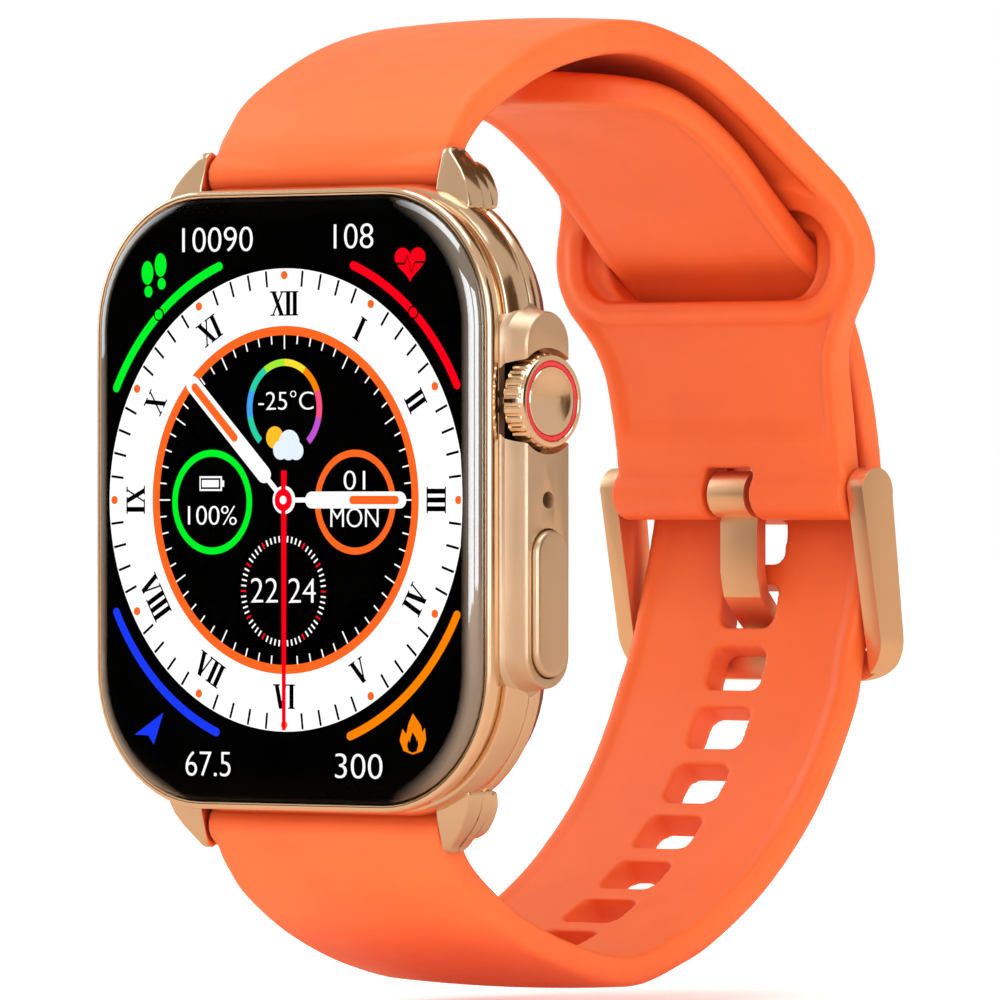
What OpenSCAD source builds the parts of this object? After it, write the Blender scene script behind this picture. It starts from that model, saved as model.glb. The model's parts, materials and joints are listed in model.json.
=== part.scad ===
// Running watch: cushion-shaped metal case with a turning crown, closed on its
// 22 mm silicone strap. Millimetres. X points to the crown side, -Y out of the
// glass, +Z to twelve o'clock. The origin is the middle of the sensor window's
// outer face, which rests on the wrist.

/* [Case] */
// Width of the case across the bezel, without the crown guard
case_w = 37.3; // [36.5:0.1:38]
// Height of the case along the strap
case_h = 44.3; // [43.8:0.1:45]
// Radius of the case corners seen from the front
case_r = 10; // [9:0.1:11]
// Wall of the middle case
case_wall = 1.85; // [1.6:0.05:2]
// Thickness from the glass to the sensor window
case_t = 11.6; // [11.6:0.1:12.5]

/* [Crown and button] */
// Diameter of the crown over its knurling
crown_d = 6.8; // [6.4:0.1:7.2]
// Height of the crown's axis above the case centre
crown_z = 6.95; // [6.5:0.05:7.5]
// Number of teeth in the knurling
crown_teeth = 30; // [24:1:48]
// How far the crown presses in
crown_travel = 0.4; // [0.2:0.05:0.4]
// Length of the side button's pill shape
button_len = 10.4; // [9:0.1:11]
// Width of the side button
button_w = 3.5; // [3:0.1:3.6]

/* [Strap] */
// Strap width between the lugs
strap_w = 21.9; // [21.5:0.1:22]
// Thickness of the band
strap_t = 2.4; // [2:0.1:2.5]
// Distance of each spring bar from the case centre
bar_z = 23.4; // [23.2:0.1:23.6]
// Half width of the window that the tail passes through
window_half = 10.3; // [10.1:0.1:10.8]
// Distance between the adjustment holes
hole_pitch = 5; // [4.8:0.1:5.2]
// Width of each adjustment hole
hole_w = 5.2; // [4.5:0.1:5.6]
// Length of each adjustment hole along the strap
hole_len = 3.4; // [3:0.1:3.6]

/* [Buckle] */
// Thickness of the prong plate
prong_t = 1.05; // [0.9:0.05:1.2]
// Width of the prong
prong_w = 3.5; // [3:0.1:3.6]

/* [Hidden] */
$fn = 48;

// depths along Y, from the glass to the wrist
glass_y = -case_t;
bezel_y = glass_y + 0.9;
frame_y0 = glass_y + 2.4;
frame_y1 = glass_y + 6.7;
back_y = -1;
side_y = glass_y + 4.9;   // axis of the crown, the button and the microphone
lug_y = glass_y + 5.9;    // spring bars

// sideways stations
side_x = case_w / 2;
guard_x = side_x + 1.95;
wall_x = side_x - case_wall;
cavity_w = case_w - 2 * case_wall;
cavity_h = case_h - 2 * case_wall;
crown_x0 = side_x + 0.3;
crown_x1 = guard_x + 0.4;
button_z = -7.3;
stem_gap = 3;
screw_x = 12;
screw_z = 15.5;

// strap routes: [depth Y, height Z, half width] of the middle of the band
upper_route = [[-5.7, 23.4, 10.95], [-4.7, 25.9, 10.95], [-1.8, 28.5, 10.95], [4.3, 31.5, 10.95],
    [10.3, 33.1, 10.95], [15.8, 33.5, 10.95], [21, 32.45, 11], [24.7, 31.1, 11],
    [29, 28.55, 11.35], [32.5, 25.8, 12],
    [34.4, 24.2, 12.5], [36.2, 22.3, 13.3], [37.1, 20.2, 14.2], [37.4, 18.2, 14.65],
    [37.35, 16.3, 14.4], [37.4, 14.6, 13.6], [37.9, 12.9, 12.4], [38.4, 11.2, 11.5],
    [39, 9, 11.05], [39.8, 5, 10.9], [40.45, 0.4, 10.9]];
lower_route = [[-5.7, -23.4, 10.95], [-4.8, -25.8, 10.95], [-2.2, -28.2, 10.95], [2.2, -30.8, 10.95],
    [8.2, -33, 10.95], [14.8, -34.1, 10.95], [20.4, -32.7, 11], [24, -31.2, 11],
    [28.6, -28.5, 11], [32.1, -25.7, 11],
    [34.9, -22.9, 11], [37.1, -20, 11], [38.8, -17.2, 11], [40.2, -14.4, 11], [41.3, -11.4, 10.7],
    [42.4, -8, 10.7], [43.3, -4.6, 10.6], [43.9, -1, 10.4], [43.8, 3, 10.2], [42.8, 7.8, 10.2],
    [41.42, 12.15, 10], [39.12, 16.68, 9.8], [36.1, 18.9, 9.6], [32.6, 21.9, 9.4], [28.4, 25.4, 9.4],
    [23, 28.5, 9.2], [18.2, 29.7, 8.8], [15, 30, 8.2]];
bar_end = upper_route[len(upper_route) - 1];
buckle_y = bar_end[0];
buckle_z = bar_end[1];
// the first adjustment hole's distance along the strap, and the number of holes
hole_run = 29.5;
hole_count = 11;
frame_x = 12.6;
rings_per_span = 4;

// ---- shapes ----

// points of an arc from angle a0 to a1 about (cx, cy)
function arc(cx, cy, r, a0, a1, n) =
    [for (i = [0:n]) let (a = a0 + (a1 - a0) * i / n) [cx + r * cos(a), cy + r * sin(a)]];

// outline of a rectangle with round corners
function round_rect(w, h, r, n = 8) = concat(
    arc(w / 2 - r, h / 2 - r, r, 0, 90, n), arc(r - w / 2, h / 2 - r, r, 90, 180, n),
    arc(r - w / 2, r - h / 2, r, 180, 270, n), arc(w / 2 - r, r - h / 2, r, 270, 360, n));

// Catmull-Rom point at t between b and c
function spline(a, b, c, d, t) =
    0.5 * (2 * b + (c - a) * t + (2 * a - 5 * b + 4 * c - d) * t * t
        + (3 * b - a - 3 * c + d) * t * t * t);

// a route as closely spaced points
function smooth_route(p) = let (n = len(p)) concat(
    [for (i = [0:n - 2]) for (k = [0:rings_per_span - 1])
        spline(p[max(i - 1, 0)], p[i], p[i + 1], p[min(i + 2, n - 1)], k / rings_per_span)],
    [p[n - 1]]);

// unit direction of the route at point i, in the Y-Z plane
function direction(s, i) =
    let (a = s[max(i - 1, 0)], b = s[min(i + 1, len(s) - 1)], d = [b[0] - a[0], b[1] - a[1]])
    d / norm(d);

// length along the route up to point i
function run_to(s, i) = i == 0 ? 0
    : run_to(s, i - 1) + norm([s[i][0] - s[i - 1][0], s[i][1] - s[i - 1][1]]);

// extrudes a (Y, Z) outline along X, from x0 to x1
module along_x(x0, x1) {
    translate([x0, 0, 0]) rotate([90, 0, 90]) linear_extrude(x1 - x0) children();
}

// extrudes an (X, Z) outline along Y, from y0 to y1
module along_y(y0, y1) {
    translate([0, y1, 0]) rotate([90, 0, 0]) linear_extrude(y1 - y0) children();
}

module slab(w, h, r, y0, y1) {
    along_y(y0, y1) polygon(round_rect(w, h, r));
}

module frame_slab(w, h, r, rim, y0, y1) {
    along_y(y0, y1) difference() {
        polygon(round_rect(w, h, r));
        polygon(round_rect(w - 2 * rim, h - 2 * rim, r - rim));
    }
}

module rod_x(r, x0, x1, y, z) {
    translate([x0, y, z]) rotate([0, 90, 0]) cylinder(r = r, h = x1 - x0);
}

module rod_y(r, x, z, y0, y1) {
    translate([x, y0, z]) rotate([-90, 0, 0]) cylinder(r = r, h = y1 - y0);
}

module ring_x(r_out, r_in, x0, x1, y, z) {
    difference() {
        rod_x(r_out, x0, x1, y, z);
        rod_x(r_in, x0 - 1, x1 + 1, y, z);
    }
}

module box(x0, x1, y0, y1, z0, z1) {
    translate([x0, y0, z0]) cube([x1 - x0, y1 - y0, z1 - z0]);
}

// pill in the Y-Z plane, of width w along Y and length l along Z
module pill(w, l) {
    polygon(concat(arc(0, (l - w) / 2, w / 2, 0, 180, 10), arc(0, (w - l) / 2, w / 2, 180, 360, 10)));
}

// a band with bevelled edges, swept along a smoothed route
module band(s, t, bevel = 0.5) {
    h = t / 2;
    section = [[1, 0, -h + bevel], [1, 0, h - bevel], [1, -bevel, h], [-1, bevel, h],
        [-1, 0, h - bevel], [-1, 0, -h + bevel], [-1, bevel, -h], [1, -bevel, -h]];
    n = len(s);
    m = len(section);
    points = [for (i = [0:n - 1]) let (d = direction(s, i)) for (q = section)
        [q[0] * s[i][2] + q[1], s[i][0] - d[1] * q[2], s[i][1] + d[0] * q[2]]];
    sides = [for (i = [0:n - 2]) for (k = [0:m - 1])
        let (a = i * m + k, b = i * m + (k + 1) % m) each [[a, b, b + m], [a, b + m, a + m]]];
    polyhedron(points, concat([[for (k = [0:m - 1]) m - 1 - k]], sides,
        [[for (k = [0:m - 1]) (n - 1) * m + k]]));
}

// ---- case ----

module lug(side, up) {
    x0 = side > 0 ? strap_w / 2 + 0.15 : -strap_w / 2 - 2.75;
    scale_z = up > 0 ? 0 : 1;
    mirror([0, 0, scale_z]) along_x(x0, x0 + 2.6)
        polygon(concat([[frame_y1 - 0.1, 19.5], [frame_y1 - 0.1, 22], [lug_y + 1.5, 22.7]],
            arc(lug_y, bar_z + 0.05, 1.7, 0, 130, 10), [[glass_y + 3.7, 22.4], [glass_y + 3.4, 19.5]]));
}

module mid_frame() {
    color("#c8a882") difference() {
        union() {
            slab(case_w - 0.6, case_h - 0.2, case_r, frame_y0, frame_y1);
            slab(case_w, case_h + 0.6, case_r + 0.2, frame_y0 + 0.4, frame_y1 - 0.5);
            translate([0, side_y, 0]) along_x(wall_x + 0.4, guard_x) pill(4.5, 26.4);
            for (side = [-1, 1], up = [-1, 1]) lug(side, up);
        }
        // hollow for the works, and the screw posts left standing in it
        difference() {
            slab(cavity_w, cavity_h, case_r - case_wall, frame_y0 - 1, frame_y1 + 1);
            for (sx = [-1, 1], sz = [-1, 1]) mirror([sx < 0 ? 1 : 0, 0, 0]) mirror([0, 0, sz < 0 ? 1 : 0])
                translate([screw_x, 0, screw_z]) rotate([0, -45, 0]) along_y(frame_y0 + 0.9, frame_y1)
                    polygon(concat(arc(0, 0, 1.6, 90, 270, 10), [[6, -1.6], [6, 1.6]]));
        }
        for (sx = [-1, 1], sz = [-1, 1])
            rod_y(0.5, sx * screw_x, sz * screw_z, frame_y0 + 1.9, frame_y1 + 1);
        frame_slab(cavity_w + 1.7, cavity_h + 1.7, case_r - 1, 0.6, frame_y1 - 0.4, frame_y1 + 1);
        slab(case_w - 1, case_h - 0.6, case_r - 0.45, frame_y1, frame_y1 + 2);
        // room for the strap ends, and the sockets of the spring bars
        for (up = [-1, 1]) {
            along_x(-strap_w / 2 - 0.15, strap_w / 2 + 0.15) polygon(concat(
                arc(lug_y, up * bar_z, 1.95, 90, 270, 12),
                [[0, up * bar_z - 1.95], [0, up * bar_z + 1.95]]));
            rod_x(0.56, -strap_w / 2 - 1.45, strap_w / 2 + 1.45, lug_y, up * bar_z);
        }
        // crown recess and tube, button pocket and stems, microphone hole
        rod_x(crown_d / 2 + 0.35, side_x - 0.3, guard_x + 1, side_y, crown_z);
        rod_x(1.35, wall_x - 1, side_x, side_y, crown_z);
        translate([0, side_y, button_z]) along_x(side_x + 0.25, guard_x + 1)
            pill(button_w + 0.24, button_len + 0.24);
        for (k = [-1, 1]) rod_x(0.66, wall_x - 1, guard_x, side_y, button_z + k * stem_gap);
        rod_x(0.6, wall_x - 1, guard_x + 1, side_y, 0);
    }
}

module bezel_ring() {
    color("#d8bc98") {
        frame_slab(case_w, case_h, case_r, 0.55, bezel_y, bezel_y + 1);
        frame_slab(case_w - 1, case_h - 1, case_r - 0.5, 1.2, bezel_y + 1, frame_y0);
    }
}

module cover_glass() {
    color("#101014") difference() {
        hull() {
            slab(case_w - 1.2, case_h - 1.2, case_r - 0.6, bezel_y - 0.1, bezel_y + 0.3);
            slab(case_w - 3.4, case_h - 3.4, case_r - 1.7, glass_y, bezel_y);
        }
        slab(case_w - 2, case_h - 1.8, case_r - 1, glass_y + 0.6, bezel_y + 1);
    }
}

module glass_adhesive() {
    color("#303030") frame_slab(case_w - 1.2, case_h - 1.2, case_r - 0.6, 0.35, bezel_y + 0.3, bezel_y + 1);
}

module display_panel() {
    color("#08080a") slab(case_w - 2.1, case_h - 1.9, case_r - 1.05, glass_y + 0.6, glass_y + 1.8);
}

module display_backplate() {
    color("#8c8c90")
        slab(cavity_w - 0.4, cavity_h - 0.4, case_r - case_wall - 0.2, glass_y + 1.8, glass_y + 2.2);
}

module display_flex() {
    color("#c87828") {
        box(-4, 4, glass_y + 2.2, glass_y + 2.35, -17.5, -14);
        box(-4, 4, glass_y + 2.2, glass_y + 2.9, -18, -17.5);
    }
}

module main_board() {
    color("#1e5a32") difference() {
        slab(cavity_w - 2, cavity_h - 3, case_r - 3, glass_y + 2.9, glass_y + 3.5);
        for (sx = [-1, 1], sz = [-1, 1])
            rod_y(2.9, sx * (screw_x + 0.9), sz * (screw_z + 0.9), glass_y + 2, glass_y + 4);
    }
}

module shield_can() {
    color("silver") box(-13, 7, glass_y + 3.5, glass_y + 4.4, -12.5, 12.5);
}

module battery() {
    color("#b8bcc4") slab_at(-14.6, 8.6, -13, 13, 1.2, glass_y + 4.4, -3.6);
}

module slab_at(x0, x1, z0, z1, r, y0, y1) {
    translate([(x0 + x1) / 2, 0, (z0 + z1) / 2]) slab(x1 - x0, z1 - z0, r, y0, y1);
}

module antenna_strip() {
    color("#d8d0c0") box(-wall_x + 0.3, -wall_x + 1.2, glass_y + 3.7, frame_y1 - 0.6, -9, 9);
}

module vibration_motor() {
    color("#a8a8ac") slab_at(-7.5, 7.5, 14.2, 18.4, 1, glass_y + 3.6, frame_y1);
}

module speaker() {
    color("#38383c") slab_at(-6.5, 6.5, -18.2, -14, 0.8, glass_y + 3.6, frame_y1);
}

module microphone() {
    color("#c8b070") box(wall_x - 2.3, wall_x - 0.1, side_y - 1.4, side_y + 1.4, -1.6, 1.6);
}

module mic_mesh() {
    color("#404044") rod_x(0.59, side_x - 0.6, side_x - 0.4, side_y, 0);
}

module crown_tube() {
    color("#b8b8bc") ring_x(1.35, 0.86, wall_x - 1.2, side_x - 0.35, side_y, crown_z);
}

module crown_switch() {
    color("#505058") {
        box(9.2, 11.4, side_y - 1.4, side_y + 1.8, crown_z - 2.2, crown_z + 2.2);
        rod_x(1.1, 11.4, 11.7, side_y, crown_z);
    }
}

module button_switch() {
    color("#505058") {
        box(11.6, 14, side_y - 1.4, side_y + 1.6, button_z - 2.4, button_z + 2.4);
        rod_x(0.9, 14, 14.3, side_y, button_z);
    }
}

module back_gasket() {
    color("#202022")
        frame_slab(cavity_w + 1.6, cavity_h + 1.6, case_r - 1.05, 0.5, frame_y1 - 0.35, frame_y1);
}

module back_cover() {
    color("#3a3a3e") difference() {
        hull() {
            slab(case_w - 1.1, case_h - 0.7, case_r - 0.5, frame_y1, frame_y1 + 0.6);
            slab(case_w - 7, case_h - 7, case_r - 3, back_y - 0.1, back_y);
        }
        hull() {
            slab(cavity_w, cavity_h, case_r - case_wall, frame_y1 - 0.1, frame_y1 + 0.1);
            slab(case_w - 9.4, case_h - 9.4, case_r - 4, back_y - 1.1, back_y - 1);
        }
        rod_y(11, 0, 0, back_y - 2, back_y + 1);
        for (sx = [-1, 1], sz = [-1, 1]) {
            rod_y(0.6, sx * screw_x, sz * screw_z, frame_y1, back_y + 1);
            rod_y(1, sx * screw_x, sz * screw_z, back_y - 0.5, back_y + 1);
        }
        for (k = [-1, 1]) rod_y(0.9, k * 2, -14.6, back_y - 2, back_y + 1);
    }
}

module sensor_window() {
    color("#16161a") translate([0, back_y, 0]) rotate([-90, 0, 0]) rotate_extrude($fn = 64)
        polygon([[0, -1], [10.95, -1], [10.95, 0], [12.2, 0], [12, 0.35], [11.3, 0.7],
            [10.2, 0.92], [9, 1], [0, 1]]);
}

module sensor_board() {
    color("#1e5a32") rod_y(10.4, 0, 0, -3.4, -2.7);
}

module optical_sensors() {
    color("#60ff80") {
        rod_y(1.6, 0, 0, -2.7, -2.1);
        for (a = [0:60:300]) rod_y(1.1, 6.2 * cos(a), 6.2 * sin(a), -2.7, -2.1);
    }
}

module charging_contacts() {
    color("#d8b060") for (k = [-1, 1]) {
        rod_y(0.88, k * 2, -14.6, -2.4, back_y - 0.15);
        rod_y(0.5, k * 2, -14.6, -3.2, -2.4);
    }
}

module back_screws() {
    color("#707074") for (sx = [-1, 1], sz = [-1, 1]) difference() {
        union() {
            rod_y(0.95, sx * screw_x, sz * screw_z, back_y - 0.5, back_y);
            rod_y(0.48, sx * screw_x, sz * screw_z, frame_y0 + 2.2, back_y - 0.5);
        }
        translate([sx * screw_x, 0, sz * screw_z]) box(-0.12, 0.12, back_y - 0.25, back_y + 1, -1, 1);
        translate([sx * screw_x, 0, sz * screw_z]) box(-1, 1, back_y - 0.25, back_y + 1, -0.12, 0.12);
    }
}

// ---- crown ----

module crown_push_plate() {
    color("#e8e0d0") rod_x(1.3, 12.2, 12.7, side_y, crown_z);
}

module crown_knob() {
    r = crown_d / 2;
    tooth = 360 / crown_teeth;
    color("#d0a878") difference() {
        translate([0, side_y, crown_z]) {
            along_x(crown_x0 + 0.3, crown_x1 - 0.35) polygon([for (i = [0:crown_teeth - 1]) each
                [for (q = [[0, r], [0.3, r], [0.5, r - 0.22], [0.8, r - 0.22]])
                    q[1] * [cos((i + q[0]) * tooth), sin((i + q[0]) * tooth)]]]);
            rod_x(r - 0.3, crown_x0 + 0.15, crown_x1, 0, 0);
            rod_x(r - 0.6, crown_x0, crown_x0 + 0.15, 0, 0);
        }
        rod_x(2.86, crown_x1 - 0.5, crown_x1 + 1, side_y, crown_z);
        rod_x(0.8, crown_x0 - 1, crown_x0 + 0.9, side_y, crown_z);
    }
}

module crown_ring() {
    color("#b81828") ring_x(2.84, 2.46, crown_x1 - 0.5, crown_x1 - 0.05, side_y, crown_z);
}

module crown_cap() {
    color("#d8b890") rod_x(2.45, crown_x1 - 0.5, crown_x1 - 0.2, side_y, crown_z);
}

module crown_shaft() {
    color("#c0c0c4") difference() {
        rod_x(0.8, 12.7, crown_x0 + 0.9, side_y, crown_z);
        for (x = [wall_x - 0.6, wall_x + 0.4]) ring_x(1, 0.58, x, x + 0.3, side_y, crown_z);
        ring_x(1, 0.6, 13.6, 13.9, side_y, crown_z);
    }
}

module crown_seals() {
    color("#202022") for (x = [wall_x - 0.6, wall_x + 0.4]) translate([x + 0.15, side_y, crown_z])
        rotate([0, 90, 0]) rotate_extrude($fn = 32) translate([0.71, 0]) circle(r = 0.13, $fn = 16);
}

module crown_circlip() {
    color("#909094") ring_x(1.4, 0.6, 13.62, 13.88, side_y, crown_z);
}

// ---- side button ----

module side_button() {
    color("#c8a480") translate([0, side_y, button_z]) {
        along_x(side_x + 0.65, guard_x + 0.3) pill(button_w, button_len);
        along_x(guard_x + 0.3, guard_x + 0.5) pill(button_w - 0.5, button_len - 0.5);
    }
}

module button_stems() {
    color("#c0c0c4") for (k = [-1, 1]) difference() {
        rod_x(0.58, wall_x - 1.4, side_x + 0.65, side_y, button_z + k * stem_gap);
        ring_x(1, 0.4, wall_x - 0.9, wall_x - 0.7, side_y, button_z + k * stem_gap);
        ring_x(1, 0.4, wall_x + 0.7, wall_x + 1, side_y, button_z + k * stem_gap);
    }
    color("#c0c0c4") box(wall_x - 1.9, wall_x - 1.4, side_y - 0.7, side_y + 0.7,
        button_z - stem_gap - 0.7, button_z + stem_gap + 0.7);
}

module button_seals() {
    color("#202022") for (k = [-1, 1]) translate([wall_x + 0.85, side_y, button_z + k * stem_gap])
        rotate([0, 90, 0]) rotate_extrude($fn = 32) translate([0.52, 0]) circle(r = 0.12, $fn = 16);
}

module button_clips() {
    color("#909094") for (k = [-1, 1])
        ring_x(1, 0.4, wall_x - 0.89, wall_x - 0.71, side_y, button_z + k * stem_gap);
}

// ---- strap ----

// cuts a hole with round corners through the band, at a distance along its smoothed route
module through_band(s, run, w, l, r) {
    i = [for (k = [1:len(s) - 1]) if (run_to(s, k) >= run && run_to(s, k - 1) < run) k][0];
    f = (run - run_to(s, i - 1)) / (run_to(s, i) - run_to(s, i - 1));
    q = s[i - 1] * (1 - f) + s[i] * f;
    d = direction(s, i);
    translate([0, q[0], q[1]]) rotate([atan2(d[1], d[0]) - 90, 0, 0])
        along_y(-4, 4) polygon(round_rect(w, l, r, 5));
}

module strap_end(up) {
    rod_x(1.55, -strap_w / 2, strap_w / 2, lug_y, up * bar_z);
}

// bore for the spring bar and the slot for its release lever
module bar_cuts(up) {
    rod_x(0.95, -strap_w / 2 - 1, strap_w / 2 + 1, lug_y, up * bar_z);
    translate([0, lug_y, up * bar_z]) rotate([-25 * up, 0, 0]) box(5.9, 9.1, 0, 4, -0.75, 0.75);
}

module upper_strap() {
    s = smooth_route(upper_route);
    color("#ff6e3c") difference() {
        union() {
            band(s, strap_t);
            strap_end(1);
            rod_x(1.9, -bar_end[2], bar_end[2], buckle_y, buckle_z);
        }
        bar_cuts(1);
        // slot that the tail tucks through, its top slanted along the tail
        intersection() {
            translate([0, 37.3, 18.1]) along_y(-5, 5) polygon(round_rect(2 * window_half, 6.6, 2.8));
            along_x(-window_half - 1, window_half + 1)
                polygon([[32, 14], [32, 22], [35, 22], [38.58, 19.15], [43, 15.7], [43, 14]]);
        }
        // buckle bar bore, and the notch that the prong turns in
        rod_x(0.8, -bar_end[2] - 1, bar_end[2] + 1, buckle_y, buckle_z);
        box(-2.3, 2.3, buckle_y - 4, buckle_y + 4, -3, 2.4);
    }
}

module lower_strap() {
    s = smooth_route(lower_route);
    color("#ff6e3c") difference() {
        union() {
            band(s, strap_t - 0.2);
            strap_end(-1);
        }
        bar_cuts(-1);
        for (k = [0:hole_count - 1]) through_band(s, hole_run + k * hole_pitch, hole_w, hole_len, 1);
    }
}

module spring_bar(up) {
    color("#c0c0c4") {
        ring_x(0.85, 0.6, -9.6, 5.8, lug_y, up * bar_z);
        rod_x(0.85, -10.4, -9.6, lug_y, up * bar_z);
        rod_x(0.5, -strap_w / 2 - 1.3, -10.4, lug_y, up * bar_z);
    }
}

// sprung half of the bar, with the lever that draws it in
module release_pin(up) {
    color("#b8b8bc") {
        rod_x(0.55, 2, 9, lug_y, up * bar_z);
        rod_x(0.85, 8.6, 10.4, lug_y, up * bar_z);
        rod_x(0.5, 10.4, strap_w / 2 + 1.3, lug_y, up * bar_z);
        translate([8.4, lug_y, up * bar_z]) rotate([-25 * up, 0, 0]) {
            rod_y(0.45, 0, 0, 0, 2.2);
            rod_y(0.6, 0, 0, 1.75, 2.2);
        }
    }
}

module upper_bar() { spring_bar(1); }

module lower_bar() { spring_bar(-1); }

module upper_release_pin() { release_pin(1); }

module lower_release_pin() { release_pin(-1); }

// ---- buckle ----

module buckle_bar() {
    color("#e0b080") rod_x(0.74, 0.3 - frame_x, frame_x - 0.3, buckle_y, buckle_z);
}

// a U that tapers towards its end bar, with round corners
module buckle_frame() {
    color("#f0b482") difference() {
        intersection() {
            along_x(-frame_x, frame_x) polygon(concat(arc(buckle_y + 0.65, 0.55, 1.85, -10, 170, 12),
                arc(43.2, -12.2, 1.3, 190, 360, 12)));
            along_y(36, 48) difference() {
                polygon(round_rect(2 * frame_x, 27, 3.4));
                polygon(round_rect(2 * frame_x - 3, 23, 1.9));
            }
        }
        // the end bar stands clear of the strap
        box(1.5 - frame_x, frame_x - 1.5, 36, 42.7, -15, -10);
        rod_x(0.79, 0.25 - frame_x, frame_x - 0.25, buckle_y, buckle_z);
    }
}

module buckle_prong() {
    h = prong_t / 2;
    // middle line of the prong: loop, plate, bend through the hole, tip on the end bar
    route = [[buckle_y + 0.7, -0.6], [40.85, -1.8], [40.85, -5.4], [41.2, -7], [42.9, -8.8],
        [44.9, -10.6], [45.15, -12.9]];
    side = function (i) let (d = direction(route, i)) [-d[1], d[0]] * h;
    n = len(route);
    color("#f0b482") difference() {
        union() {
            rod_x(1.75, -prong_w / 2, prong_w / 2, buckle_y, buckle_z);
            along_x(-prong_w / 2, prong_w / 2) polygon(concat(
                [for (i = [0:n - 1]) [route[i][0], route[i][1]] + side(i)],
                [for (i = [n - 1:-1:0]) [route[i][0], route[i][1]] - side(i)]));
        }
        rod_x(0.79, -prong_w, prong_w, buckle_y, buckle_z);
    }
}

mid_frame();
bezel_ring();
cover_glass();
glass_adhesive();
display_panel();
display_backplate();
display_flex();
main_board();
shield_can();
battery();
antenna_strip();
vibration_motor();
speaker();
microphone();
mic_mesh();
crown_tube();
crown_switch();
button_switch();
back_gasket();
back_cover();
sensor_window();
sensor_board();
optical_sensors();
charging_contacts();
back_screws();
crown_push_plate();
crown_knob();
crown_ring();
crown_cap();
crown_shaft();
crown_seals();
crown_circlip();
side_button();
button_stems();
button_seals();
button_clips();
upper_strap();
upper_bar();
buckle_bar();
upper_release_pin();
lower_strap();
lower_bar();
lower_release_pin();
buckle_frame();
buckle_prong();
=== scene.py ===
"""Looks of the running watch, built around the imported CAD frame.

Shapes are worked out in millimetres and written to the scene in metres. Depth runs along Y from
the glass (-11.6) to the wrist (0), X points to the crown and Z to twelve o'clock, as in the CAD.
"""
import json
import math
import bmesh
import bpy
import numpy as np
from mathutils import Matrix, Vector


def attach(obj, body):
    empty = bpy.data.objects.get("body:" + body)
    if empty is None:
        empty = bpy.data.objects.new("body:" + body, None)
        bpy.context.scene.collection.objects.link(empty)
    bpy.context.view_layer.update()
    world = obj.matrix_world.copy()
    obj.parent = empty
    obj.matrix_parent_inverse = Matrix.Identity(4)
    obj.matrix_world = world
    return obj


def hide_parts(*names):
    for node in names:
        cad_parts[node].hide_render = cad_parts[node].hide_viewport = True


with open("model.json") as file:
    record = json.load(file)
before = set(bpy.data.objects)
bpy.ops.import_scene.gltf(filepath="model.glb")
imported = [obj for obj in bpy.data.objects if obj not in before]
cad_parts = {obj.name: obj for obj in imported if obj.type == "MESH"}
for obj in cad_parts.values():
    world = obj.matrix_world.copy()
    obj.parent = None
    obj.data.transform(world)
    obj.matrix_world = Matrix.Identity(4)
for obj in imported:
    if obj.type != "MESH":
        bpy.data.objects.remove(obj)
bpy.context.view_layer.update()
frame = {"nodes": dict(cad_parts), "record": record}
MM = 0.001


def view_camera():
    """The photograph's view: 40 degrees to the right, level, 780 mm from the glass's centre."""
    data = bpy.data.cameras.new("camera")
    data.sensor_width = 36
    data.lens = 394.2
    data.clip_start = 0.05
    data.clip_end = 20
    camera = bpy.data.objects.new("camera", data)
    camera.location = (0.51283, -0.5986, 0)
    camera.rotation_euler = (math.radians(90), 0, math.radians(40))
    bpy.context.scene.collection.objects.link(camera)
    bpy.context.scene.camera = camera


view_camera()

# ---- driving sizes, mm, as in the CAD model ----

CASE_W, CASE_H, CASE_R = 37.3, 44.3, 10
GLASS_Y = -11.6
BEZEL_Y = GLASS_Y + 0.9
DIAL_Y = GLASS_Y + 0.6
SIDE_Y = GLASS_Y + 4.9
LUG_Y = GLASS_Y + 5.9
BAR_Z = 23.4
CROWN_Z = 6.95
GUARD_X = 20.6
BUTTON_Z = -7.3
BUCKLE = (40.45, 0.4)

FLOOR_Z = -0.0368   # metres

# the dial's picture is moved and widened this much along X to line up with the photograph
DIAL_SHIFT, DIAL_WIDEN = -0.23, 1.0144

UPPER_ROUTE = [
    (-5.7, 23.4, 10.95), (-4.7, 25.9, 10.95), (-1.8, 28.5, 10.95), (4.3, 31.5, 10.95),
    (10.3, 33.1, 10.95), (15.8, 33.5, 10.95), (21, 32.45, 11), (24.7, 31.1, 11),
    (29, 28.55, 11.35), (32.5, 25.8, 12), (34.4, 24.2, 12.5), (36.2, 22.3, 13.3),
    (37.1, 20.2, 14.2), (37.4, 18.2, 14.65), (37.35, 16.3, 14.4), (37.4, 14.6, 13.6),
    (37.9, 12.9, 12.4), (38.4, 11.2, 11.5), (39, 9, 11.05), (39.8, 5, 10.9),
    (40.45, 0.4, 10.9)]
LOWER_ROUTE = [
    (-5.7, -23.4, 10.95), (-4.8, -25.8, 10.95), (-2.2, -28.2, 10.95), (2.2, -30.8, 10.95),
    (8.2, -33, 10.95), (14.8, -34.1, 10.95), (20.4, -32.7, 11), (24, -31.2, 11),
    (28.6, -28.5, 11), (32.1, -25.7, 11), (34.9, -22.9, 11), (37.1, -20, 11),
    (38.8, -17.2, 11), (40.2, -14.4, 11), (41.3, -11.4, 10.7), (42.4, -8, 10.7),
    (43.3, -4.6, 10.6), (43.9, -1, 10.4), (43.8, 3, 10.2), (42.8, 7.8, 10.2),
    (41.42, 12.15, 10), (39.12, 16.68, 9.8), (36.1, 18.9, 9.6), (32.6, 21.9, 9.4),
    (28.4, 25.4, 9.4), (23, 28.5, 9.2), (18.2, 29.7, 8.8), (15, 30, 8.2)]
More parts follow.
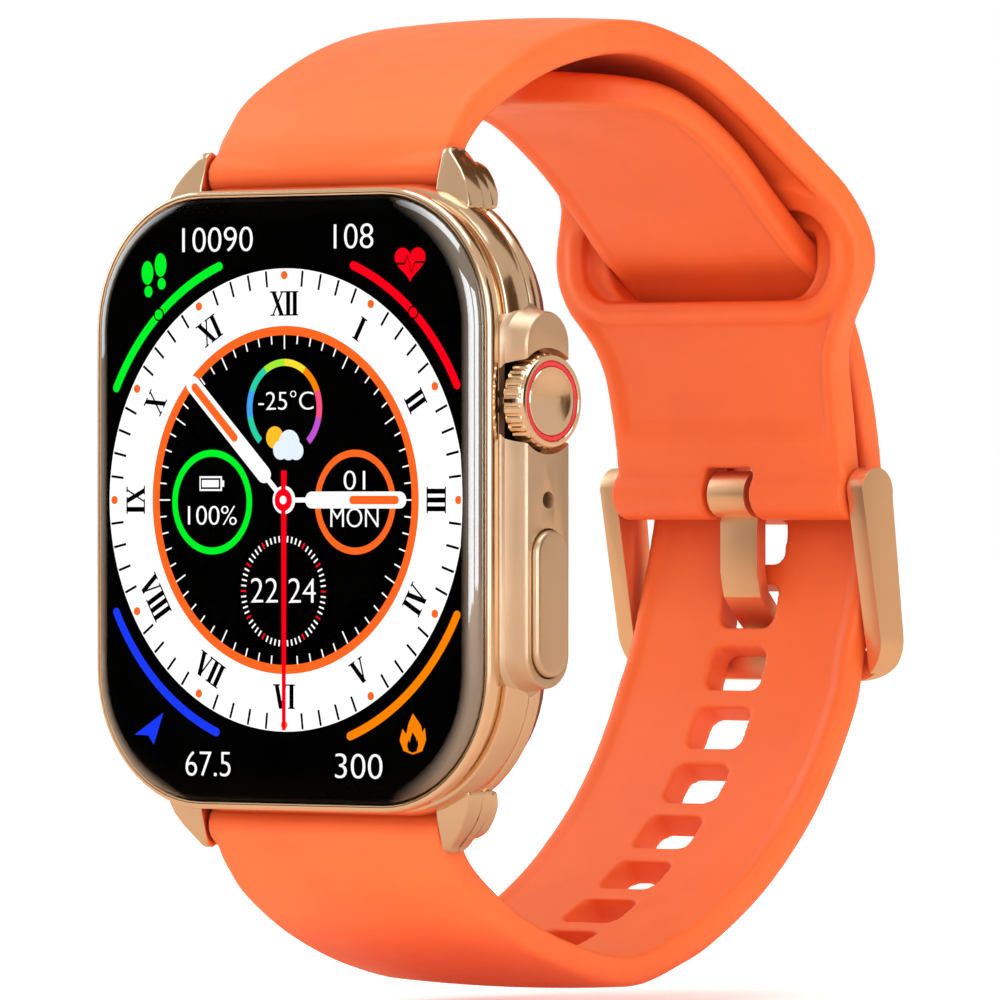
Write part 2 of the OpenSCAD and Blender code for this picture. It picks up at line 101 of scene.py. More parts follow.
FIRST_HOLE, HOLE_PITCH, HOLE_COUNT = 29.5, 5, 11


# ---- shapes ----

def arc(cx, cy, r, a0, a1, n):
    """Points of an arc in degrees, both ends included."""
    steps = [math.radians(a0 + (a1 - a0) * i / n) for i in range(n + 1)]
    return [(cx + r * math.cos(a), cy + r * math.sin(a)) for a in steps]


def round_rect(w, h, r, n=14):
    """Outline of a rectangle with round corners."""
    x, y = w / 2 - r, h / 2 - r
    corners = [(x, y, 0), (-x, y, 90), (-x, -y, 180), (x, -y, 270)]
    return [p for cx, cy, a in corners for p in arc(cx, cy, r, a, a + 90, n)]


def pill(w, h, n=14):
    """Outline of an upright pill."""
    return arc(0, (h - w) / 2, w / 2, 0, 180, n) + arc(0, (w - h) / 2, w / 2, 180, 360, n)


def mesh_object(name, verts, faces):
    """An object in millimetres, not yet in the scene's collection as a finished piece."""
    mesh = bpy.data.meshes.new(name)
    mesh.from_pydata([tuple(v) for v in verts], [], faces)
    mesh.validate()
    obj = bpy.data.objects.new(name, mesh)
    bpy.context.scene.collection.objects.link(obj)
    fix = bmesh.new()
    fix.from_mesh(mesh)
    bmesh.ops.recalc_face_normals(fix, faces=fix.faces)
    fix.to_mesh(mesh)
    fix.free()
    return obj


def rings_to_mesh(name, rings, closed=False):
    """Joins rings of equally many points by quads, with flat ends or closed into a loop."""
    m, n = len(rings[0]), len(rings)
    verts = [p for ring in rings for p in ring]
    faces = []
    for i in range(n if closed else n - 1):
        a, b = i * m, (i + 1) % n * m
        faces += [(a + k, a + (k + 1) % m, b + (k + 1) % m, b + k) for k in range(m)]
    if not closed:
        faces += [tuple(reversed(range(m))), tuple(range((n - 1) * m, n * m))]
    return mesh_object(name, verts, faces)


def apply_modifiers(obj):
    """Replaces the object's mesh with its evaluated one."""
    graph = bpy.context.evaluated_depsgraph_get()
    obj.data = bpy.data.meshes.new_from_object(obj.evaluated_get(graph))
    obj.modifiers.clear()
    return obj


def combine(obj, tools, operation="DIFFERENCE"):
    """Boolean of obj with each tool, and the tools are removed."""
    for tool in tools:
        step = obj.modifiers.new("cut", "BOOLEAN")
        step.operation, step.solver, step.object = operation, "EXACT", tool
        apply_modifiers(obj)
        bpy.data.objects.remove(tool)
    return obj


def bevel(obj, width, segments=3, angle=30):
    step = obj.modifiers.new("bevel", "BEVEL")
    step.width, step.segments, step.limit_method = width, segments, "ANGLE"
    step.angle_limit = math.radians(angle)
    step.use_clamp_overlap = True
    return apply_modifiers(obj)


def smooth_shade(obj, angle=35):
    obj.data.shade_smooth()
    obj.data.set_sharp_from_angle(angle=math.radians(angle))
    return obj


def prism_x(name, outline, x0, x1):
    """A (Y, Z) outline extruded along X."""
    return rings_to_mesh(name, [[(x, y, z) for y, z in outline] for x in (x0, x1)])


def prism_y(name, outline, y0, y1):
    """An (X, Z) outline extruded along Y."""
    return rings_to_mesh(name, [[(x, y, z) for x, z in outline] for y in (y0, y1)])


def rod_x(name, r, x0, x1, y, z, n=48):
    return prism_x(name, arc(y, z, r, 0, 360 - 360 / n, n - 1), x0, x1)


def rod_y(name, r, x, z, y0, y1, n=48):
    return prism_y(name, arc(x, z, r, 0, 360 - 360 / n, n - 1), y0, y1)


def lathe_x(name, profile, y, z, n=96, shape=None):
    """Turns a profile of (x, radius) about an X axis; shape(angle, x) scales the radius."""
    rings = []
    for x, r in profile:
        angles = [2 * math.pi * k / n for k in range(n)]
        grow = [r * (shape(a, x) if shape else 1) for a in angles]
        rings.append([(x, y + g * math.cos(a), z + g * math.sin(a)) for g, a in zip(grow, angles)])
    return rings_to_mesh(name, rings)


def lathe_y(name, profile, x=0, z=0, n=96):
    """Turns a profile of (y, radius) about a Y axis."""
    rings = [[(x + r * math.cos(2 * math.pi * k / n), y, z + r * math.sin(2 * math.pi * k / n))
              for k in range(n)] for y, r in profile]
    return rings_to_mesh(name, rings)


def frame_loft(name, profile, closed=True, w=CASE_W, h=CASE_H, r=CASE_R):
    """Runs a profile of (offset, y) around the case outline."""
    rings = [[(x, y, z) for x, z in round_rect(w + 2 * o, h + 2 * o, r + o)] for o, y in profile]
    return rings_to_mesh(name, rings, closed)


def join(name, parts):
    """One object holding every part's mesh."""
    whole = bmesh.new()
    for part in parts:
        whole.from_mesh(part.data)
        bpy.data.objects.remove(part)
    obj = mesh_object(name, [], [])
    whole.to_mesh(obj.data)
    whole.free()
    return obj


def finish_piece(obj, body, material, stands_for=(), angle=35):
    """Scales a millimetre piece to metres, shades it and hands it to its body."""
    obj.data.transform(Matrix.Scale(MM, 4))
    smooth_shade(obj, angle)
    obj.data.materials.clear()
    obj.data.materials.append(material)
    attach(obj, body)
    if stands_for:
        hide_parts(*stands_for)
    return obj


# ---- materials ----

class Nodes:
    """Short way to write a node tree; link sources are (node, output name)."""

    def __init__(self, name):
        self.material = bpy.data.materials.new(name)
        self.material.use_nodes = True
        self.tree = self.material.node_tree
        self.bsdf = self.tree.nodes["Principled BSDF"]
        coords = self.add("ShaderNodeTexCoord")
        self.place = (coords, "Object")

    def add(self, kind, values=None, **links):
        node = self.tree.nodes.new(kind)
        for key, value in (values or {}).items():
            if key in node.inputs:
                node.inputs[key].default_value = value
            else:
                setattr(node, key, value)
        for key, (source, output) in links.items():
            self.tree.links.new(source.outputs[output], node.inputs[key.replace("_", " ")])
        return node

    def noise(self, scale, detail=3, rough=0.5, place=None):
        return self.add("ShaderNodeTexNoise", {"Scale": scale, "Detail": detail,
                                               "Roughness": rough},
                        Vector=place or self.place)

    def stretched(self, x, y, z):
        """Object coordinates with a scale for each axis, for brushed grain."""
        return self.add("ShaderNodeMapping", {"Scale": (x, y, z)}, Vector=self.place), "Vector"

    def ramp(self, source, stops, output="Fac"):
        node = self.add("ShaderNodeValToRGB", Fac=(source, output))
        elements = node.color_ramp.elements
        while len(elements) < len(stops):
            elements.new(0.5)
        for element, (at, colour) in zip(elements, stops):
            element.position = at
            element.color = colour if len(colour) == 4 else (*colour, 1)
        return node

    def range(self, source, lo, hi, output="Fac", low_in=0.3, high_in=0.7):
        return self.add("ShaderNodeMapRange", {"From Min": low_in, "From Max": high_in,
                                               "To Min": lo, "To Max": hi}, Value=(source, output))

    def bump(self, source, strength, distance, output="Fac", normal=None):
        links = {"Height": (source, output)}
        if normal:
            links["Normal"] = (normal, "Normal")
        return self.add("ShaderNodeBump", {"Strength": strength, "Distance": distance}, **links)

    def set(self, **values):
        for key, value in values.items():
            socket = self.bsdf.inputs[key.replace("_", " ")]
            if isinstance(value, tuple) and len(value) == 2 and hasattr(value[0], "outputs"):
                self.tree.links.new(value[0].outputs[value[1]], socket)
            else:
                socket.default_value = value
        return self.material


def shade(colour, k):
    return tuple(min(1.0, c * k) for c in colour[:3])


def silicone(name, colour):
    """Satin moulded silicone: faint cloudiness, matt skin grain, specks of dust and painted shade
    darkening the colour in the creases.
    """
    n = Nodes(name)
    cloud = n.noise(90, 4, 0.55)
    tint = n.ramp(cloud, [(0.35, shade(colour, 0.93)), (0.65, shade(colour, 1.05))])
    # painted shade: ambient occlusion darkens and deepens the colour in the creases
    painted_crease_shade = n.add("ShaderNodeAmbientOcclusion", {"samples": 4, "Distance": 0.007})
    crease_shade_tint = n.ramp(painted_crease_shade, [(0.35, (0.8, 0.56, 0.5)), (0.9, (1, 1, 1))], "AO")
    body = n.add("ShaderNodeMix", {"data_type": "RGBA", "blend_type": "MULTIPLY"})
    body.inputs[0].default_value = 1
    n.tree.links.new(tint.outputs["Color"], body.inputs[6])
    n.tree.links.new(crease_shade_tint.outputs["Color"], body.inputs[7])
    skin = n.noise(5200, 2, 0.6)
    broad = n.noise(300, 3, 0.5)
    rough = n.range(broad, 0.4, 0.5)
    fine = n.bump(skin, 0.12, 0.00002)
    soft = n.bump(broad, 0.05, 0.0002, normal=fine)
    return n.set(Base_Color=(body, 2), Roughness=(rough, "Result"), Normal=(soft, "Normal"),
                 Subsurface_Weight=0.12, Subsurface_Radius=(0.9, 0.3, 0.1), Subsurface_Scale=0.0012,
                 Specular_IOR_Level=0.38, Sheen_Weight=0.02, Sheen_Roughness=0.4)


def metal(name, colour, rough, grain=(1, 1, 1), spread=0.05, bump=0.03):
    """Plated metal: tone drift, fine polishing lines along the long grain axis, small scuffs."""
    n = Nodes(name)
    drift = n.noise(120, 3)
    tint = n.ramp(drift, [(0.3, shade(colour, 0.93)), (0.7, shade(colour, 1.05))])
    lines = n.noise(2600, 2, 0.6, n.stretched(*grain))
    rub = n.noise(700, 4, 0.65)
    worn = n.add("ShaderNodeMath", {"operation": "MULTIPLY"}, Value=(lines, "Fac"))
    n.tree.links.new(rub.outputs["Fac"], worn.inputs[1])
    finish = n.range(worn, rough - spread, rough + spread, "Value", 0.12, 0.4)
    relief = n.bump(lines, bump, 0.00001)
    return n.set(Base_Color=(tint, "Color"), Metallic=1.0, Roughness=(finish, "Result"),
                 Normal=(relief, "Normal"))


def plastic(name, colour, rough=0.4, grain=2400, strength=0.1):
    """Moulded plastic or rubber with a fine spark-eroded grain."""
    n = Nodes(name)
    cloud = n.noise(200, 3)
    tint = n.ramp(cloud, [(0.3, shade(colour, 0.88)), (0.7, shade(colour, 1.12))])
    skin = n.noise(grain, 3, 0.6)
    finish = n.range(cloud, rough - 0.06, rough + 0.06)
    relief = n.bump(skin, strength, 0.00002)
    return n.set(Base_Color=(tint, "Color"), Roughness=(finish, "Result"),
                 Normal=(relief, "Normal"))


def board_material(name):
    """Green solder mask over copper tracks, with pale component patches."""
    n = Nodes(name)
    tracks = n.add("ShaderNodeTexVoronoi", {"Scale": 900.0, "distance": "MANHATTAN"},
                   Vector=n.place)
    parts = n.add("ShaderNodeTexVoronoi", {"Scale": 330.0, "distance": "CHEBYCHEV"}, Vector=n.place)
    mask = n.ramp(tracks, [(0.2, (0.02, 0.16, 0.07)), (0.34, (0.05, 0.3, 0.13))], "Distance")
    chips = n.ramp(parts, [(0.16, (0.02, 0.02, 0.02)), (0.2, (1, 1, 1))], "Distance")
    both = n.add("ShaderNodeMix", {"data_type": "RGBA", "blend_type": "MULTIPLY"})
    both.inputs[0].default_value = 1
    n.tree.links.new(mask.outputs["Color"], both.inputs[6])
    n.tree.links.new(chips.outputs["Color"], both.inputs[7])
    relief = n.bump(parts, 0.4, 0.0002, "Distance")
    return n.set(Base_Color=(both, 2), Roughness=0.35, Normal=(relief, "Normal"))


def glowing(name, colour, strength=1.12):
    """A lit colour of the screen, with the faint cell structure of its pixels."""
    n = Nodes(name)
    cells = n.add("ShaderNodeTexVoronoi", {"Scale": 12000.0}, Vector=n.place)
    tint = n.ramp(cells, [(0.1, shade(colour, 1.0)), (0.9, shade(colour, 0.93))], "Distance")
    return n.set(Base_Color=(0.0, 0.0, 0.0, 1), Roughness=0.5, Emission_Color=(tint, "Color"),
                 Emission_Strength=strength, Specular_IOR_Level=0.0)


def screen_black(name):
    """The unlit screen: black, with the faint cell structure of its pixels."""
    n = Nodes(name)
    cells = n.add("ShaderNodeTexVoronoi", {"Scale": 12000.0}, Vector=n.place)
    tint = n.ramp(cells, [(0.1, (0.0005, 0.0005, 0.0006)), (0.9, (0.001, 0.001, 0.001))],
                  "Distance")
    return n.set(Base_Color=(tint, "Color"), Roughness=0.8, Specular_IOR_Level=0.0)


def glass_material(name):
    """Clear cover glass with a trace of smudges in its gloss, and a painted reflection on its left and
    right edges.
    """
    n = Nodes(name)
    smudge = n.noise(160, 4, 0.6)
    finish = n.range(smudge, 0.01, 0.035)
    # painted reflection: the IOR rises from 1.06 to 4.2 as the normal turns towards ±X, so the left and
    # right sides of the rounded edge reflect brightly and the flat front hardly at all
    facing = n.add("ShaderNodeSeparateXYZ", Vector=(n.place[0], "Normal"))
    side_facing_for_painted_reflection = n.add("ShaderNodeMath", {"operation": "ABSOLUTE"}, Value=(facing, "X"))
    edge = n.range(side_facing_for_painted_reflection, 1.06, 4.2, "Value", 0.08, 0.5)
    return n.set(Base_Color=(1, 1, 1, 1), Roughness=(finish, "Result"), IOR=(edge, "Result"),
                 Transmission_Weight=1.0)


def dark_gloss(name, colour, rough=0.12):
    """Ink or tinted glass: deep colour, glossy, with smudges in the gloss."""
    n = Nodes(name)
    smudge = n.noise(220, 4, 0.6)
    tint = n.ramp(smudge, [(0.3, shade(colour, 0.8)), (0.7, shade(colour, 1.2))])
    finish = n.range(smudge, rough * 0.7, rough * 1.5)
    return n.set(Base_Color=(tint, "Color"), Roughness=(finish, "Result"), IOR=1.5)


ORANGE = (1.0, 0.158, 0.028)
GOLD = (0.86, 0.675, 0.5)
PEACH = (0.98, 0.68, 0.44)
MATERIALS = {
    "strap_silicone": silicone("orange_silicone", ORANGE),
    "case_metal": metal("champagne_case", GOLD, 0.16, (1, 1, 0.06)),
    # painted light: the bezel's and crown's gold is made 1.1 times brighter, and the guard's and button's
    # 0.92 and 0.9 times darker, than the case's. These are lit and shaded copies of the one plated metal;
    # only the guard's and button's rougher finish is real
    "bezel_metal": metal("champagne_bezel", shade(GOLD, 1.1), 0.13, (1, 1, 0.1)),
    "guard_matte": metal("champagne_blasted", shade(GOLD, 0.92), 0.42, (1, 1, 1), 0.05, 0.08),
    "button_metal": metal("champagne_button", shade(GOLD, 0.9), 0.34, (1, 1, 0.1), 0.06, 0.08),
    "buckle_metal": metal("peach_buckle", PEACH, 0.4, (0.1, 1, 1), 0.02, 0.004),
    "crown_red": plastic("red_enamel", (0.75, 0.03, 0.04), 0.25, 1500, 0.03),
    "glass": glass_material("cover_glass_clear"),
    "display": screen_black("screen_black"),
    "adhesive": plastic("black_adhesive", (0.02, 0.02, 0.02), 0.6),
    "gasket": plastic("seal_rubber", (0.02, 0.02, 0.02), 0.5),
    "steel": metal("brushed_steel", (0.62, 0.61, 0.6), 0.28, (0.08, 1, 1), 0.08, 0.1),
    "board": board_material("green_board"),
    "flex": plastic("amber_flex", (0.6, 0.26, 0.04), 0.35),
    "cell": metal("cell_foil", (0.72, 0.73, 0.75), 0.35, (1, 1, 0.1), 0.08, 0.15),
    "ceramic": plastic("antenna_ceramic", (0.75, 0.7, 0.6), 0.55),
    "black_plastic": plastic("black_moulding", (0.025, 0.025, 0.028), 0.38),
    "nylon": plastic("white_nylon", (0.8, 0.76, 0.68), 0.45),
    "gold_plate": metal("gold_plate", (0.9, 0.62, 0.25), 0.22, (1, 1, 1), 0.06, 0.05),
    "sensor_glass": dark_gloss("sensor_glass_dark", (0.006, 0.006, 0.008), 0.06),
    "led": plastic("sensor_windows", (0.1, 0.32, 0.16), 0.2),
}


def dress_cad_nodes():
    """Gives every CAD node its procedural material by the record's slot."""
    slots = {row["node"]: row["material_slot"] for row in frame["record"]["subparts"]}
    for node, obj in frame["nodes"].items():
        for k in range(max(1, len(obj.material_slots))):
            if k < len(obj.material_slots):
                obj.material_slots[k].material = MATERIALS[slots[node]]


# ---- case ----

def case_pieces():
    d = lambda depth: depth + BEZEL_Y
    metal_, bezel_ = MATERIALS["case_metal"], MATERIALS["bezel_metal"]
    bezel = frame_loft("bezel", [
        (-0.62, d(1.2)), (-0.62, d(0.12)), (-0.5, d(0.0)), (-0.28, d(-0.02)), (-0.1, d(0.08)),
        (0.0, d(0.3)), (0.02, d(0.7)), (-0.04, d(1.05)), (-0.2, d(1.2)), (-0.45, d(1.24)),
        (-0.5, d(1.6)), (-1.2, d(1.6)), (-1.2, d(1.2))])
    finish_piece(bezel, "case", bezel_, ["bezel_ring"], 50)

    # from the pocket's floor, over the rounded edge, to the flat front
    glass = frame_loft("glass", [
        (-1.05, DIAL_Y - 0.2), (-1.05, d(0.3)), (-0.66, d(0.3)), (-0.66, d(-0.05)),
        (-0.72, d(-0.22)),
        (-0.86, d(-0.42)), (-1.08, d(-0.6)), (-1.36, d(-0.75)), (-1.66, d(-0.85)),
        (-1.96, d(-0.895)), (-2.1, d(-0.9)), (-2.6, d(-0.9))],
        closed=False)
    finish_piece(glass, "case", MATERIALS["glass"], ["cover_glass"], 40)

    band = frame_loft("mid_band", [
        (-1.85, d(1.5)), (-0.62, d(1.5)), (-0.62, d(1.86)), (-0.16, d(1.9)), (-0.02, d(1.98)),
        (0.12, d(2.3)), (0.24, d(2.8)), (0.3, d(3.4)), (0.26, d(3.9)), (0.12, d(4.3)),
        (-0.08, d(4.52)), (-0.08, d(4.62)), (0.06, d(4.8)), (0.14, d(5.1)), (0.12, d(5.4)),
        (-0.02, d(5.65)), (-0.3, d(5.8)), (-0.7, d(5.84)), (-1.85, d(5.84))])

    # crown guard: a pill-shaped pad with its pockets
    guard = rings_to_mesh("guard", [[(x, SIDE_Y + y, z) for y, z in pill(w, h)] for x, w, h in (
        (17.6, 6.2, 28), (18.5, 6.1, 27.9), (18.75, 5.7, 27.5), (18.85, 5.3, 27.1),
        (19.6, 4.95, 26.8),
        (20.35, 4.72, 26.6), (20.52, 4.62, 26.5), (GUARD_X, 4.46, 26.34))])
    pocket = prism_x("pocket", [(SIDE_Y + y, BUTTON_Z + z) for y, z in pill(3.74, 10.64)], 18.9, 22)
    crown_room = rod_x("crown_room", 3.75, 18.35, 22, SIDE_Y, CROWN_Z, 96)
    mic = rod_x("mic_cut", 0.6, 17, 22, SIDE_Y, 0)
    combine(guard, [pocket, crown_room, mic])
    combine(band, [rod_x("crown_room", 3.75, 18.35, 22, SIDE_Y, CROWN_Z, 96),
                   rod_x("mic_cut", 0.6, 15, 22, SIDE_Y, 0)])
    # room for the strap ends
    for up in (-1, 1):
        outline = arc(LUG_Y, up * BAR_Z, 1.95, 90, 270, 16) + [(0, up * BAR_Z - 1.95),
                                                               (0, up * BAR_Z + 1.95)]
        combine(band, [prism_x("scallop", outline, -11.1, 11.1)])
    finish_piece(join("middle_case", [band]), "case", metal_, ["mid_frame"], 32)
    finish_piece(bevel(guard, 0.06, 2, 50), "case", MATERIALS["guard_matte"], (), 32)

    # each lug's front view rounds off its outer corner
    front = [(10, 19), (14.4, 19), (14.35, 21.0), (14.1, 21.9), (13.7, 22.7), (13.1, 23.5),
             (12.4, 24.2),
             (11.9, 24.7), (11.55, 25.6), (10, 25.6)]
    lugs = []
    for side in (-1, 1):
        for up in (-1, 1):
            x0, x1 = sorted((side * 11.12, side * 14.5))
            mask = prism_y("mask", [(side * x, up * z) for x, z in front], -12, 0)
            for lobe in lug_lobes():
                lug = prism_x("lobe", [(LUG_Y - 5 + depth, up * z) for depth, z in lobe], x0, x1)
                again = mesh_object("mask", [], [])
                again.data = mask.data.copy()
                combine(lug, [again], "INTERSECT")
                lugs.append(bevel(lug, 0.22, 3, 40))
            bpy.data.objects.remove(mask)
    finish_piece(join("lugs", lugs), "case", metal_, (), 40)


def lug_lobes():
    """The three layers of a lug from front to back, as (depth, height) outlines."""
    front = [(2.7, 20.6), (3.0, 22.6)] + arc(4.25, 24.35, 0.72, 165, 40, 6) + [(4.45, 20.6)]
    middle = [(4.3, 20.6)] + arc(4.95, 24.3, 0.62, 160, 30, 6) + [(5.3, 20.6)]
    rear = [(5.2, 20.6)] + arc(5.75, 23.3, 0.72, 150, 0, 6) + [(6.3, 21.6), (5.9, 20.6)]
    return [front, middle, rear]


def back_pieces():
    d = lambda depth: depth + BEZEL_Y
    cover = frame_loft("back_shell", [
        (-2.2, d(5.84)), (-0.55, d(5.84)), (-0.52, d(6.1)), (-0.72, d(6.6)), (-1.25, d(7.5)),
        (-2.1, d(8.5)), (-2.9, d(9.2)), (-3.3, d(9.52)), (-3.7, d(9.68)), (-4.1, d(9.7))],
        closed=False)
    tools = [rod_y("well", 12.35, 0, 0, -1.16, 1, 96)]
    for sx in (-1, 1):
        tools += [rod_y("screw_well", 1.02, sx * 12, sz * 15.5, -1.5, 1) for sz in (-1, 1)]
        tools.append(rod_y("pad_well", 1.15, sx * 2, -14.6, -1.18, 1))
    combine(cover, tools)
    finish_piece(bevel(cover, 0.07, 2, 45), "case", MATERIALS["black_plastic"],
                 ["back_cover"], 40)

    dome = lathe_y("sensor_dome", [(-1.14, 0.05), (-1.14, 12.1), (-1.0, 12.25), (-0.85, 12.2),
                                   (-0.62, 11.8),
                                   (-0.35, 11.1), (-0.14, 10.2), (-0.03, 9.4), (0, 8.8), (0, 0.05)])
    finish_piece(dome, "case", MATERIALS["sensor_glass"], ["sensor_window"], 40)
    electrode = lathe_y("sensor_electrode", [(-0.7, 10.5), (-0.7, 11.75), (-0.56, 11.72),
                                             (-0.29, 11.08),
                                             (-0.18, 10.62), (-0.22, 10.5)])
    finish_piece(electrode, "case", MATERIALS["steel"], (), 40)
    eyes = [lathe_y("eye", [(-0.2, 0.02), (-0.2, 1.55), (0.0, 1.55), (0.02, 1.45), (0.02, 0.02)], 0,
                    0, 40)]
    for k in range(6):
        a = math.radians(60 * k)
        eyes.append(lathe_y("eye", [(-0.2, 0.02), (-0.2, 1.1), (0.0, 1.1), (0.02, 1.0),
                                    (0.02, 0.02)],
                            6.2 * math.cos(a), 6.2 * math.sin(a), 40))
    finish_piece(join("sensor_eyes", eyes), "case", MATERIALS["led"], (), 40)


# ---- the screen's picture ----

COLOURS = {"white": (1.0, 1.0, 1.0), "orange": (1.0, 0.13, 0.015), "green": (0.0, 0.85, 0.02),
           "red": (0.95, 0.0, 0.01), "blue": (0.01, 0.04, 0.9), "flame": (1.0, 0.22, 0.0),
           "sun": (1.0, 0.5, 0.02), "sky": (0.05, 0.35, 0.85), "teal": (0.02, 0.6, 0.35),
           "lime": (0.35, 0.8, 0.03), "yellow": (0.95, 0.7, 0.03), "rose": (0.9, 0.08, 0.2),
           "violet": (0.5, 0.08, 0.6), "cloud": (0.75, 0.85, 1.0)}


class Dial:
    """Flat artwork in layers 0.02 mm apart, gathered by colour."""

    def __init__(self):
        self.parts = {}

    def add(self, colour, obj):
        self.parts.setdefault(colour, []).append(obj)

    def shape(self, colour, level, outline):
        self.add(colour, prism_y("art", outline, DIAL_Y - 0.02 * level, DIAL_Y))

    def disc(self, colour, level, x, z, r, n=32):
        self.shape(colour, level, arc(x, z, r, 0, 360 - 360 / n, n - 1))

    def ring(self, colour, level, x, z, r0, r1, n=128):
        top = DIAL_Y - 0.02 * level
        circles = [[(cx, y, cz) for cx, cz in arc(x, z, r, 0, 360 - 360 / n, n - 1)]
                   for r, y in ((r0, DIAL_Y), (r1, DIAL_Y), (r1, top), (r0, top))]
        self.add(colour, rings_to_mesh("art", circles, True))

    def sweep(self, colour, level, x, z, r, wide, a0, a1, ends=True):
        """Part of a ring from angle a0 to a1, with round ends."""
        h = wide / 2
        outline = arc(x, z, r + h, a0, a1, 40)
        tip = [x + r * math.cos(math.radians(a1)), z + r * math.sin(math.radians(a1))]
        tail = [x + r * math.cos(math.radians(a0)), z + r * math.sin(math.radians(a0))]
        if ends:
            outline += arc(*tip, h, a1, a1 + 180, 8)[1:-1]
        outline += arc(x, z, r - h, a1, a0, 40)
        if ends:
            outline += arc(*tail, h, a0 + 180, a0 + 360, 8)[1:-1]
        self.shape(colour, level, outline)

    def hand(self, colour, level, angle, r0, r1, wide):
        """A round-ended bar from radius r0 to r1 along an angle."""
        h = wide / 2
        bar = arc(r1 - h, 0, h, -90, 90, 8) + arc(r0 + h, 0, h, 90, 270, 8)
        self.shape(colour, level, turned(bar, angle))

    def words(self, colour, level, body, x, z, wide, high):
        """Lettering fitted to a box about (x, z)."""
        font = bpy.data.curves.new("words", "FONT")
        font.body = body
        font.extrude = 0.5
        font.offset = -0.014
        holder = bpy.data.objects.new("words", font)
        bpy.context.scene.collection.objects.link(holder)
        bpy.context.view_layer.update()
        mesh = bpy.data.meshes.new_from_object(holder.evaluated_get(bpy.context.evaluated_depsgraph_get()))
        bpy.data.objects.remove(holder)
        place = read_verts(mesh)
        lo, hi = place.min(0), place.max(0)
        unit = (place - lo) / (hi - lo)
        top = DIAL_Y - 0.02 * level
        place = np.stack([x + (unit[:, 0] - 0.5) * wide, DIAL_Y + (top - DIAL_Y) * unit[:, 2],
                          z + (unit[:, 1] - 0.5) * high], 1)
        mesh.vertices.foreach_set("co", place.ravel())
        mesh.update()
        obj = bpy.data.objects.new("words", mesh)
        bpy.context.scene.collection.objects.link(obj)
        self.add(colour, obj)

    def finish(self):
        for colour, parts in self.parts.items():
            material = MATERIALS["display"] if colour == "black" else glowing(
                "screen_" + colour, COLOURS[colour])
            picture = join("screen_" + colour, parts)
            picture.data.transform(Matrix.Translation((DIAL_SHIFT, 0, 0))
                                   @ Matrix.Scale(DIAL_WIDEN, 4, (1, 0, 0)))
            finish_piece(picture, "case", material)


def turned(points, degrees, x=0, z=0):
    c, s = math.cos(math.radians(degrees)), math.sin(math.radians(degrees))
    return [(x + px * c - pz * s, z + px * s + pz * c) for px, pz in points]


def numeral_strokes(text, high):
    """Upright Roman numeral as four-sided strokes, centred on the origin."""
    widths = {"I": 0.62, "V": 1.35, "X": 1.35}
    left = -sum(widths[c] for c in text) / 2
    strokes, h = [], high / 2
    for c in text:
        w = widths[c]
        x0, x1 = left + 0.12, left + w - 0.12
        middle = (x0 + x1) / 2
        stems = {"I": [(middle, middle, 0.36)],
                 "V": [(x0 + 0.15, middle, 0.36), (x1 - 0.1, middle, 0.13)],
                 "X": [(x0 + 0.15, x1 - 0.15, 0.36), (x1 - 0.1, x0 + 0.1, 0.13)]}[c]
        for top, bottom, wide in stems:
            k = wide / 2
            strokes.append([(top - k, h), (bottom - k, -h), (bottom + k, -h), (top + k, h)])
            strokes.append([(top - k - 0.14, h), (top - k - 0.14, h - 0.1),
                            (top + k + 0.14, h - 0.1),
                            (top + k + 0.14, h)])
            if c != "V":
                strokes.append([(bottom - k - 0.14, 0.1 - h), (bottom - k - 0.14, -h),
                                (bottom + k + 0.14, -h), (bottom + k + 0.14, 0.1 - h)])
        left += w
    return strokes


